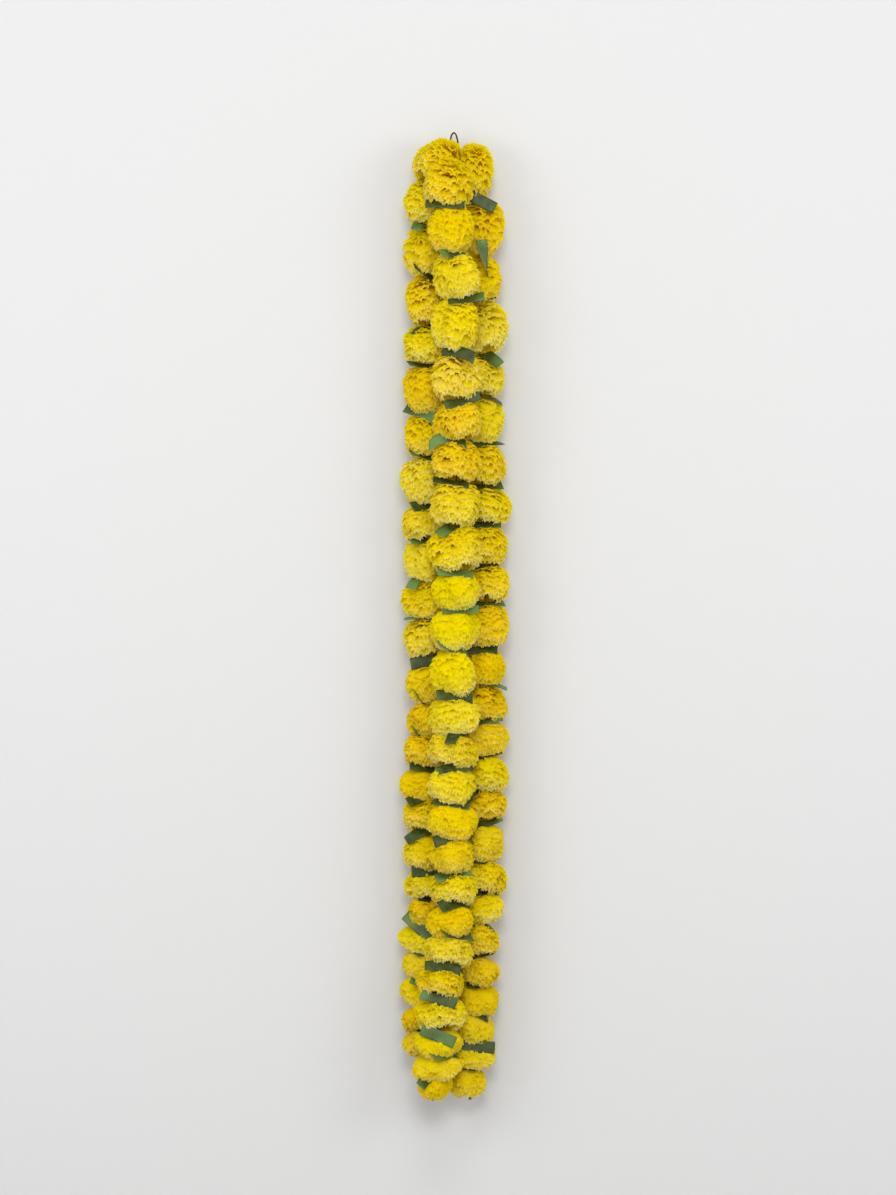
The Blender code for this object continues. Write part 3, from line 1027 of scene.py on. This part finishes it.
def add_flower(side, number):
    """Shapes one flower and puts it on its strand, number 1 at the top."""
    draw = np.random.default_rng(random.Random(f"flower {side} {number}").getrandbits(32))
    top, bottom = joints[side][number - 1 : number + 1]
    height = (top - bottom).length + FLOWER_OVERLAP
    radius = FLOWER_RADIUS * draw.uniform(*RADIUS_SPREAD)
    off_thread = Vector((draw.uniform(*SIDEWAYS), draw.uniform(*BACKWARDS), 0)) * MM
    middle = (top + bottom) / 2 + off_thread
    middle.x += LEFT_SHIFT * (side == "left")
    fullness = FULLNESS
    if (side, number) in END_FLOWERS:
        shift, wide, taller = END_FLOWERS[side, number]
        middle += Vector(shift) * MM
        radius = wide * MM
        height += taller * MM
        fullness = END_FULLNESS
    top_rim = TOP_RIM - RIM_DROP * number + draw.uniform(-RIM_SPREAD, RIM_SPREAD)
    points, guide = shape_flower(draw, radius, height, top_rim, fullness)
    tilt = Matrix.Rotation(math.radians(draw.uniform(-FLOWER_TILT, FLOWER_TILT)), 4, "X")
    tilt @= Matrix.Rotation(math.radians(draw.uniform(-FLOWER_TILT, FLOWER_TILT)), 4, "Y")
    spin = Matrix.Rotation(draw.uniform(0, 2 * math.pi), 4, "Z")
    mesh = blank.copy()
    name = f"{side}_marigold_{number:02d}"
    mesh.name = name
    stand = upright(middle, top - bottom) @ tilt @ spin
    points = points @ np.array(stand.to_3x3()).T + np.array(stand.translation)
    points[:, 1] -= np.maximum(points[:, 1] - FLAT_BACK, 0) * FLATTENING
    if (side, number - 1) in strips:
        lie_beside(points, strips[side, number - 1], above=False, reach=PRESSED_DOWN)
    if (side, number) in strips:
        lie_beside(points, strips[side, number], above=True, reach=PRESSED_UP)
    mesh.vertices.foreach_set("co", points.ravel())
    mesh.attributes.new("petal", "FLOAT_COLOR", "POINT").data.foreach_set("color", guide.ravel())
    dye = np.zeros_like(guide)
    patch = 0.5 + 0.5 * np.cos(blank_angle + draw.uniform(0, 6) + 2 * guide[:, 2])
    golden = GOLDEN_FLOWERS.get((side, number), draw.uniform(*GOLDEN))
    dye[:, 0] = golden * (PATCHES[0] + PATCHES[1] * patch)
    dye[:, 1] = PALE_FLOWERS.get((side, number), draw.random() ** 3 * PALE) * patch
    mesh.attributes.new("bloom", "FLOAT_COLOR", "POINT").data.foreach_set("color", dye.ravel())
    mesh.shade_smooth()
    mesh.materials.append(petal_paint)
    flower = new_object(name, mesh)
    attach(flower, "root")
    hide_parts(node_of_flower(side, number))
    return flower


flowers = [add_flower(side, number) for side in STRANDS for number in range(1, 26)]
print("flowers:", len(flowers))

# %% [markdown]
# A short end of ribbon hangs from the right strand's last knot. It is a small bent grid with the same
# finish.

# %% Ribbon tail
TAIL_BACK = 0.4  # of its depth, where its middle line lies
TAIL_CURL = 2  # how sharply its sides curl forwards
TAIL_LEAN = 1 * MM
TAIL_SLANT = 1.2 * MM
low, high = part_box("right_tail")
bm = bmesh.new()
bmesh.ops.create_grid(bm, x_segments=4, y_segments=6, size=0.5, calc_uvs=True)
for vert in bm.verts:
    across, down = vert.co.x, vert.co.y
    vert.co = Vector(
        (
            (low.x + high.x) / 2 + across * (high.x - low.x),
            (low.y + high.y) / 2
            + (TAIL_BACK - across**2 * TAIL_CURL) * (high.y - low.y)
            + down * TAIL_LEAN,
            (low.z + high.z) / 2 + down * (high.z - low.z) + across * TAIL_SLANT,
        )
    )
tail = finish_piece("ribbon_tail", bm, ribbon_paint, "right_tail", slot="ribbon")
give_thickness(tail)

# %% [markdown]
# ## Wall, floor and light
# The garland hangs just in front of a pale wall, over a pale floor, both matt paint, which shines
# nowhere. The wall is seen only from its front and lets light from behind pass, so the back of the
# garland can be looked at too.


# %% Wall and floor
def add_stage(name, half_side, matrix, paint):
    """A square that isn't part of the garland."""
    bm = bmesh.new()
    bmesh.ops.create_grid(bm, x_segments=1, y_segments=1, size=half_side, matrix=matrix)
    mesh = mesh_of(bm, name)
    mesh.materials.append(paint)
    new_object(name, mesh)


WALL_DEPTH = 26 * MM
WALL_HALF = 2.5
FLOOR_HALF = 4.0
FLOOR_HEIGHT = -1.75
wall_paint, tree = new_material("pale matt wall paint")
matt = add_node(tree, "ShaderNodeBsdfDiffuse", {"Color": linear("#c7c7c7")})
clear = add_node(tree, "ShaderNodeBsdfTransparent")
from_behind = add_node(tree, "ShaderNodeNewGeometry").outputs["Backfacing"]
to_a_light = add_node(tree, "ShaderNodeLightPath").outputs["Is Shadow Ray"]
hidden = add_node(tree, "ShaderNodeMath", {0: from_behind, 1: to_a_light}, operation="MAXIMUM")
seen = add_node(
    tree,
    "ShaderNodeMixShader",
    {0: hidden.outputs["Value"], 1: matt.outputs["BSDF"], 2: clear.outputs["BSDF"]},
)
add_node(tree, "ShaderNodeOutputMaterial", {"Surface": seen.outputs["Shader"]})
facing_front = Matrix.Rotation(math.radians(90), 4, "X")
behind_garland = Matrix.Translation((0, WALL_DEPTH, FLOOR_HEIGHT + WALL_HALF))
add_stage("wall", WALL_HALF, behind_garland @ facing_front, wall_paint)

floor_paint, tree = new_material("pale matt floor paint")
matt = add_node(tree, "ShaderNodeBsdfDiffuse", {"Color": linear("#c7c7c7")})
add_node(tree, "ShaderNodeOutputMaterial", {"Surface": matt.outputs["BSDF"]})
add_stage("floor", FLOOR_HALF, Matrix.Translation((0, 0, FLOOR_HEIGHT)), floor_paint)

# %% [markdown]
# Five round softboxes light the garland: one high in front and one at eye level, a weaker one on each
# side, which keeps the shadows open, and one behind for the views from there. Each row gives its name,
# its place, what it points at, its diameter in metres and its power in watts.

# %% Soft lights
SOFTBOXES = [
    ("high_softbox", (0, -3.2, 3.2), (0, 0, -0.7), 2.2, 62),
    ("front_softbox", (0, -5.0, 0.9), (0, 0, -0.8), 1.6, 88),
    ("left_softbox", (-2.0, -2.2, -0.2), (0, 0, -0.9), 1.5, 22),
    ("right_softbox", (2.0, -2.2, -0.2), (0, 0, -0.9), 1.5, 20),
    ("back_softbox", (0.6, 2.4, 0.3), (0, 0, -0.7), 1.5, 22),
]


def add_light(name, place, target, size, power):
    """A round softbox at its place, turned to face the target."""
    data = bpy.data.lights.new(name, "AREA")
    data.shape = "DISK"
    data.size = size
    data.energy = power
    made = new_object(name, data)
    made.location = place
    made.rotation_euler = (Vector(target) - Vector(place)).to_track_quat("-Z", "Y").to_euler()


for softbox in SOFTBOXES:
    add_light(*softbox)
print("softboxes:", len(SOFTBOXES))

world = bpy.data.worlds.new("studio")
world.use_nodes = True
background = world.node_tree.nodes["Background"]
background.inputs["Color"].default_value = linear("#f7f7f7")
background.inputs["Strength"].default_value = 0.7
bpy.context.scene.world = world
bpy.context.scene.view_settings.view_transform = "Standard"
